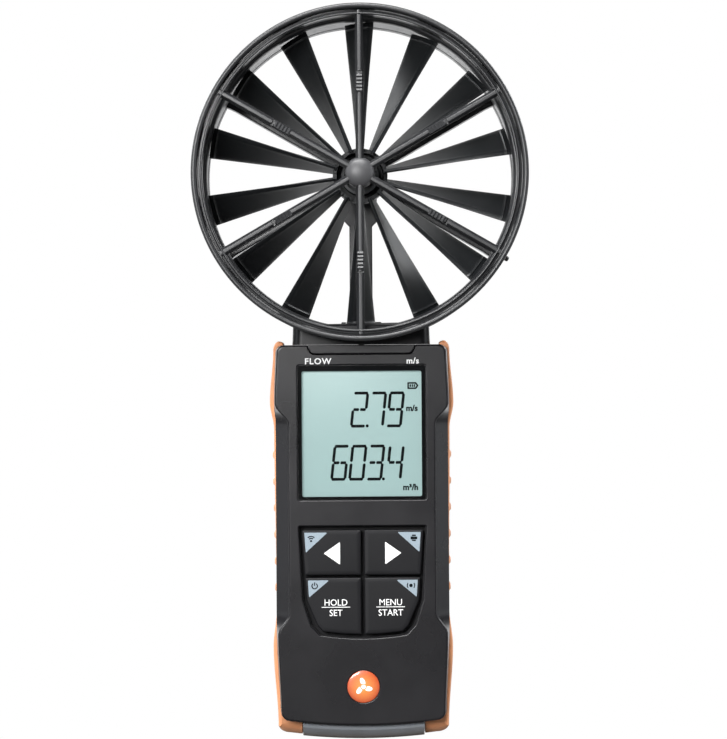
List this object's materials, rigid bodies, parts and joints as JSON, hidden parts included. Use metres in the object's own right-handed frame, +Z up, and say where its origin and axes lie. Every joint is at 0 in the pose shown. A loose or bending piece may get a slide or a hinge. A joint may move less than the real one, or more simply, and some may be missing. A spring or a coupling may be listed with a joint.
{
  "type": "vane anemometer",
  "caption": "Hand-held vane anemometer: a guarded ring duct with a free-turning bladed wheel, on a handle with display, keys and battery compartment.",
  "frame": {"origin": "middle of the foot: centre of the bounding box's bottom", "axes": "+Z up the handle to the ring, -Y out of the display and the air inlet, +X to the viewer's right"},
  "size_m": [0.104, 0.046, 0.228],
  "materials": {
    "housing": "fine moulded texture, semi-matte black",
    "blade": "smooth black, low gloss",
    "casing": "fine spark-eroded texture, dark grey",
    "grip": "soft-touch orange",
    "strip": "soft-touch blue grey",
    "window": "clear polished",
    "lcd": "pale green display",
    "key": "silicone, fine matte",
    "cable": "smooth jacket",
    "badge": "domed, glossy orange",
    "steel": "plain",
    "brass": "turned",
    "board": "green solder mask",
    "chip": "black moulded",
    "inner": "natural white",
    "tray": "black moulded",
    "cell": "printed sleeve"
  },
  "bodies": {
    "root": {"vane_housing": "housing", "inlet_guard": "housing", "outlet_guard": "housing", "column_cover": "housing", "funnel_pin": "steel", "sensor_cable": "cable", "hub_cap": "casing", "front_bearing": "brass", "rear_bearing": "brass", "temperature_sensor": "inner", "speed_pickup": "brass", "front_shell": "casing", "rear_shell": "casing", "grip_right": "grip", "grip_left": "grip", "end_cap": "strip", "display_window": "window", "lcd_glass": "lcd", "backlight": "inner", "lcd_frame": "inner", "keypad_mat": "key", "switch_left": "steel", "switch_right": "steel", "switch_mode": "steel", "switch_menu": "steel", "badge": "badge", "main_board": "board", "cable_socket": "inner", "processor": "chip", "radio_module": "steel", "buzzer": "chip", "battery_1": "cell", "battery_2": "cell", "battery_3": "cell", "battery_tray": "tray", "contact_spring_1": "steel", "contact_plate_1": "steel", "contact_spring_2": "steel", "contact_plate_2": "steel", "contact_spring_3": "steel", "contact_plate_3": "steel", "casing_screw_1": "steel", "casing_screw_2": "steel", "casing_screw_3": "steel", "casing_screw_4": "steel", "neck_screw_1": "steel", "neck_screw_2": "steel"},
    "vane": {"vane_wheel": "blade", "signal_disc": "steel", "rotor_axle": "steel"},
    "left_key": {"key_left": "key"},
    "right_key": {"key_right": "key"},
    "mode_key": {"key_mode": "key"},
    "menu_key": {"key_menu": "key"},
    "cover": {"battery_cover": "casing"}
  },
  "joints": [
    {"name": "vane_spin", "type": "hinge", "parent": "root", "child": "vane", "pos_m": [0, 0, 0.176], "axis": [0, -1, 0], "continuous": true},
    {"name": "left_press", "type": "slide", "parent": "root", "child": "left_key", "axis": [0, 1, 0], "range_m": [0, 0.0008]},
    {"name": "right_press", "type": "slide", "parent": "root", "child": "right_key", "axis": [0, 1, 0], "range_m": [0, 0.0008]},
    {"name": "mode_press", "type": "slide", "parent": "root", "child": "mode_key", "axis": [0, 1, 0], "range_m": [0, 0.0008]},
    {"name": "menu_press", "type": "slide", "parent": "root", "child": "menu_key", "axis": [0, 1, 0], "range_m": [0, 0.0008]},
    {"name": "cover_open", "type": "hinge", "parent": "root", "child": "cover", "pos_m": [0, 0.016, 0.0134], "axis": [-1, 0, 0], "range_deg": [0, 75]}
  ]
}
